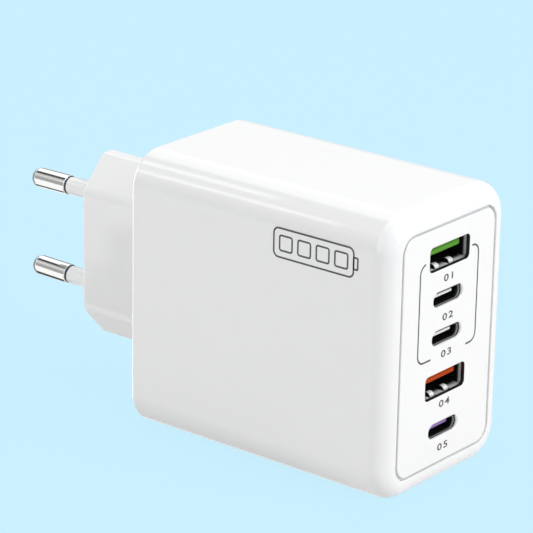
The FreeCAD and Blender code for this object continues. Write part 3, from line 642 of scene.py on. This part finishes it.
def makeWorld():
    world = bpy.data.worlds.new("studio")
    bpy.context.scene.world = world
    world.use_nodes = True
    tree = world.node_tree
    light = tree.nodes["Background"]
    light.inputs["Color"].default_value = (1.0, 1.0, 1.0, 1.0)
    light.inputs["Strength"].default_value = worldValues["light"]
    backdrop = tree.nodes.new("ShaderNodeBackground")
    backdrop.inputs["Color"].default_value = worldValues["colour"]
    mix = tree.nodes.new("ShaderNodeMixShader")
    tree.links.new(seenDirectly(tree), mix.inputs["Fac"])
    tree.links.new(light.outputs["Background"], mix.inputs[1])
    tree.links.new(backdrop.outputs["Background"], mix.inputs[2])
    tree.links.new(mix.outputs["Shader"], tree.nodes["World Output"].inputs["Surface"])


lampAim = (0.0, 0.0, 0.03)  # the middle of the charger
lampValues = {
    "keyHigh": {"place": (0.10, -0.80, 0.80), "size": (0.6, 0.6), "power": 3.3},
    "keyRight": {"place": (0.33, -0.99, 0.36), "size": (0.6, 0.5), "power": 4.0},
    "overhead": {"place": (0.15, 0.15, 1.05), "size": (0.8, 0.8), "power": 2.5},
    "leftBox": {"place": (-0.75, 0.42, 0.33), "size": (1.3, 0.7), "power": 2.8},
    "rim": {"place": (-0.05, 1.20, 0.16), "size": (0.5, 0.3), "power": 1.5},
}


def makeLamp(name, values):
    lamp = bpy.data.lights.new(name, "AREA")
    lamp.shape = "RECTANGLE"
    lamp.size, lamp.size_y = values["size"]
    lamp.energy = values["power"]
    holder = bpy.data.objects.new(name, lamp)
    bpy.context.collection.objects.link(holder)
    holder.location = values["place"]
    holder.visible_camera = False
    aim = Vector(lampAim) - Vector(values["place"])
    holder.rotation_euler = aim.to_track_quat("-Z", "Y").to_euler()


# cards that only reflections see, for the bands on the polished pins and the glossy edges
arcValues = {  # strips on an arc, each from one angle to the next above the left horizon, and their levels
    "pinArc": {
        "axis": (0.0, 0.037), "radius": 0.45, "along": (0.11, 0.61),
        "bands": {
            "sideFlag": (-4.0, 26.0, 0.42), "leftCard": (26.0, 43.0, 0.66), "leftStripe": (43.0, 50.0, 1.0),
            "leftUpper": (50.0, 66.0, 0.60), "upperFlag": (66.0, 94.0, 0.10), "upperCard": (94.0, 147.0, 1.4),
            "topCard": (147.0, 163.0, 1.05), "rightCard": (163.0, 184.0, 0.80),
        },
    },
    "edgeArc": {
        "axis": (-0.0116, 0.0489), "radius": 0.08, "along": (0.012, 0.079),
        "bands": {"edgeStripe": (36.5, 47.0, 2.6), "edgeFlag": (56.0, 63.0, 0.35)},
    },
    "rearEdgeArc": {
        "axis": (-0.0116, 0.0489), "radius": 0.08, "along": (0.030, 0.079),
        "bands": {"edgeLine": (64.0, 76.0, 2.1)},
    },
}
cardValues = {
    "farCard": {"place": (-0.36, 0.40, 0.001), "turn": (0.0, 0.0, 46.0), "size": (0.9, 0.40), "level": 0.8},
    "nearCard": {"place": (-0.07, 0.12, 0.001), "turn": (0.0, 0.0, 46.0), "size": (0.5, 0.32), "level": 1.18},
    "frontCard": {"place": (0.06, -0.12, 0.001), "turn": (0.0, 0.0, -46.0), "size": (0.22, 0.22), "level": 0.9},
    "underFlag": {"place": (-0.001, -0.018, 0.0014), "turn": (0.0, 0.0, 0.0), "size": (0.042, 0.072), "level": 1.0},
    "edgeCard": {"place": (0.03, 0.083, 0.0012), "turn": (0.0, 0.0, 57.3), "size": (0.13, 0.03), "level": 1.2},
    "plugFlag": {"place": (-0.055, 0.058, 0.0012), "turn": (0.0, 0.0, -42.7), "size": (0.08, 0.014), "level": 0.0},
    "plugStep": {"place": (-0.0465, 0.0605, 0.0011), "turn": (0.0, 0.0, -38.5), "size": (0.04, 0.011), "level": 0.3},
    "plugUnder": {"place": (-0.004, 0.036, 0.0013), "turn": (0.0, 0.0, 0.0), "size": (0.016, 0.022), "level": 0.95},
    "rearLine": {
        "place": (-0.016, 0.015, 0.028), "turn": (90.0, 0.0, 0.0), "size": (0.006, 0.05), "level": 2.3,
        "oneSided": True,
    },
    "floorFlag": {"place": (0.002, 0.0715, 0.0015), "turn": (0.0, 0.0, 0.0), "size": (0.018, 0.033), "level": 0.1},
}
pinHeights = {"upper": 0.0379, "lower": 0.0189}
pinFlagValues = {  # dark cards beside each pin, placed from the pin's height
    "TipFlag": {"place": (0.0005, 0.0545, -0.001), "turn": (90.0, 0.0, 0.0), "size": (0.010, 0.008), "level": 0.38},
    "TopFlag": {"place": (0.006, 0.049, 0.0023), "turn": (0.0, 90.0, 0.0), "size": (0.0034, 0.026), "level": 0.1},
}
for pinName, height in pinHeights.items():
    for flagName, flag in pinFlagValues.items():
        across, along, rise = flag["place"]
        cardValues[pinName + flagName] = {**flag, "place": (across, along, height + rise)}
for arc in arcValues.values():
    radius, (near, far) = arc["radius"], arc["along"]
    for cardName, (start, end, level) in arc["bands"].items():
        middle, half = math.radians((start + end) / 2), math.radians((end - start) / 2)
        across, up = arc["axis"][0] - radius * math.cos(middle), arc["axis"][1] + radius * math.sin(middle)
        cardValues[cardName] = {
            "place": (across, (near + far) / 2, up), "turn": (0.0, math.degrees(middle) - 90.0, 0.0),
            "size": (2 * radius * math.tan(half), far - near), "level": level,
        }


def makeCard(name, values):
    deselectAll()
    bpy.ops.mesh.primitive_plane_add(size=1.0)
    card = bpy.context.object
    card.name = name
    card.scale = (*values["size"], 1.0)
    bpy.ops.object.transform_apply(scale=True)
    setPlace(card, values["place"], [math.radians(angle) for angle in values["turn"]])
    material = bpy.data.materials.new(name)
    material.use_nodes = True
    tree = material.node_tree
    glow = tree.nodes.new("ShaderNodeEmission")
    glow.inputs["Color"].default_value = (values["level"],) * 3 + (1.0,)
    surface = glow.outputs["Emission"]
    if values.get("oneSided"):
        side = tree.nodes.new("ShaderNodeNewGeometry")
        clear = tree.nodes.new("ShaderNodeBsdfTransparent")
        mix = tree.nodes.new("ShaderNodeMixShader")
        tree.links.new(side.outputs["Backfacing"], mix.inputs["Fac"])
        tree.links.new(surface, mix.inputs[1])
        tree.links.new(clear.outputs["BSDF"], mix.inputs[2])
        surface = mix.outputs["Shader"]
    tree.links.new(surface, tree.nodes["Material Output"].inputs["Surface"])
    setMaterial(card, material)
    card.visible_camera = card.visible_diffuse = card.visible_shadow = card.visible_transmission = False


cameraValues = {
    "place": (-0.420465, -0.343965, 0.226011), "aim": (-0.004672, -0.012634, 0.034894),
    "roll": math.radians(1.098), "lens": 199.53, "sensor": 36.0,
}


def makeCamera():
    lens = bpy.data.cameras.new("photo_view")
    lens.lens = cameraValues["lens"]
    lens.sensor_width = cameraValues["sensor"]
    camera = bpy.data.objects.new("photo_view", lens)
    bpy.context.collection.objects.link(camera)
    aim = Vector(cameraValues["aim"]) - Vector(cameraValues["place"])
    camera.location = cameraValues["place"]
    camera.rotation_mode = "QUATERNION"
    roll = Quaternion((0.0, 0.0, 1.0), cameraValues["roll"])
    camera.rotation_quaternion = aim.to_track_quat("-Z", "Y") @ roll
    bpy.context.scene.camera = camera


makeFloor()
makeWorld()
for lampName, values in lampValues.items():
    makeLamp(lampName, values)
for cardName, values in cardValues.items():
    makeCard(cardName, values)
makeCamera()
bpy.context.scene.view_settings.view_transform = "Standard"
print("floor, lamps and camera set")
